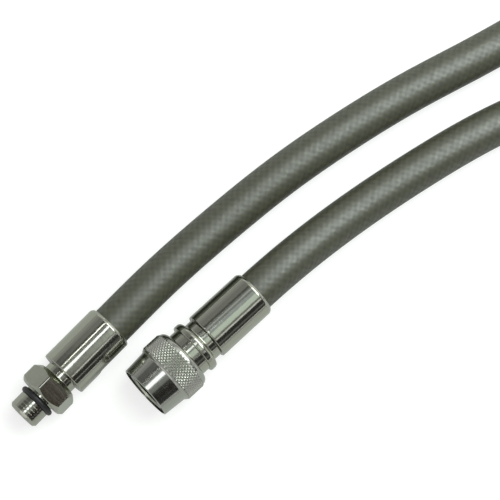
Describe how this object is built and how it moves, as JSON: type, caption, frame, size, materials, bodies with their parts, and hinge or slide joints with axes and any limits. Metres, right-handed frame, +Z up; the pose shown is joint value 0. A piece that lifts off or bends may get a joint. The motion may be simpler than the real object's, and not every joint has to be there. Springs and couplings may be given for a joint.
{
  "type": "low pressure inflator hose",
  "caption": "Short rubber breathing-gas hose: a threaded male fitting with O-ring and hexagon at one end, a knurled quick-release coupling at the other.",
  "frame": {"origin": "on the ground, under the middle of the box round the two fittings, hose left out", "axes": "+X along the coupling from its open mouth to its hose, +Y from the coupling towards the male fitting, +Z up from the ground the hose lies on"},
  "size_m": [0.3344, 0.1325, 0.0195],
  "materials": {
    "hose_rubber": "dull, with the weave of its wrapping pressed into it",
    "seal_rubber": "smooth",
    "plated_brass": "bright nickel plate",
    "satin_plated_brass": "satin nickel plate",
    "bare_brass": "turned",
    "spring_steel": "drawn wire",
    "ball_steel": "polished"
  },
  "bodies": {
    "hose_assembly": {"hose": "hose_rubber", "coupling_body": "plated_brass", "coupling_ferrule": "plated_brass", "sleeve_spring": "spring_steel", "retaining_ring": "spring_steel", "socket_seal": "seal_rubber", "core_plug": "bare_brass", "core_barrel": "bare_brass", "core_gasket": "seal_rubber", "core_spring": "spring_steel", "male_fitting": "plated_brass", "male_ferrule": "plated_brass", "male_o_ring": "seal_rubber"},
    "sleeve": {"sliding_sleeve": "satin_plated_brass"},
    "ball_1": {"lock_ball_1": "ball_steel"},
    "ball_2": {"lock_ball_2": "ball_steel"},
    "ball_3": {"lock_ball_3": "ball_steel"},
    "ball_4": {"lock_ball_4": "ball_steel"},
    "ball_5": {"lock_ball_5": "ball_steel"},
    "ball_6": {"lock_ball_6": "ball_steel"},
    "valve_pin": {"core_pin": "bare_brass", "core_poppet_seal": "seal_rubber"}
  },
  "joints": [
    {"name": "sleeve_slide", "type": "slide", "parent": "hose_assembly", "child": "sleeve", "axis": [1, 0, 0], "range_m": [0, 0.0022], "stiffness_N_per_m": 400, "springref_m": -0.002, "deforming": ["sleeve_spring"]},
    {"name": "ball_1_slide", "type": "slide", "parent": "hose_assembly", "child": "ball_1", "axis": [0, 0, -1], "range_m": [0, 0.00065]},
    {"name": "ball_2_slide", "type": "slide", "parent": "hose_assembly", "child": "ball_2", "axis": [0, 0.866, -0.5], "range_m": [0, 0.00065]},
    {"name": "ball_3_slide", "type": "slide", "parent": "hose_assembly", "child": "ball_3", "axis": [0, 0.866, 0.5], "range_m": [0, 0.00065]},
    {"name": "ball_4_slide", "type": "slide", "parent": "hose_assembly", "child": "ball_4", "axis": [0, 0, 1], "range_m": [0, 0.00065]},
    {"name": "ball_5_slide", "type": "slide", "parent": "hose_assembly", "child": "ball_5", "axis": [0, -0.866, 0.5], "range_m": [0, 0.00065]},
    {"name": "ball_6_slide", "type": "slide", "parent": "hose_assembly", "child": "ball_6", "axis": [0, -0.866, -0.5], "range_m": [0, 0.00065]},
    {"name": "pin_slide", "type": "slide", "parent": "hose_assembly", "child": "valve_pin", "axis": [1, 0, 0], "range_m": [0, 0.0012], "stiffness_N_per_m": 300, "springref_m": -0.0015, "deforming": ["core_spring"]}
  ],
  "couplings": [
    {"joint": "ball_1_slide", "follows": "sleeve_slide", "ratio": 0.2954},
    {"joint": "ball_2_slide", "follows": "sleeve_slide", "ratio": 0.2954},
    {"joint": "ball_3_slide", "follows": "sleeve_slide", "ratio": 0.2954},
    {"joint": "ball_4_slide", "follows": "sleeve_slide", "ratio": 0.2954},
    {"joint": "ball_5_slide", "follows": "sleeve_slide", "ratio": 0.2954},
    {"joint": "ball_6_slide", "follows": "sleeve_slide", "ratio": 0.2954}
  ]
}
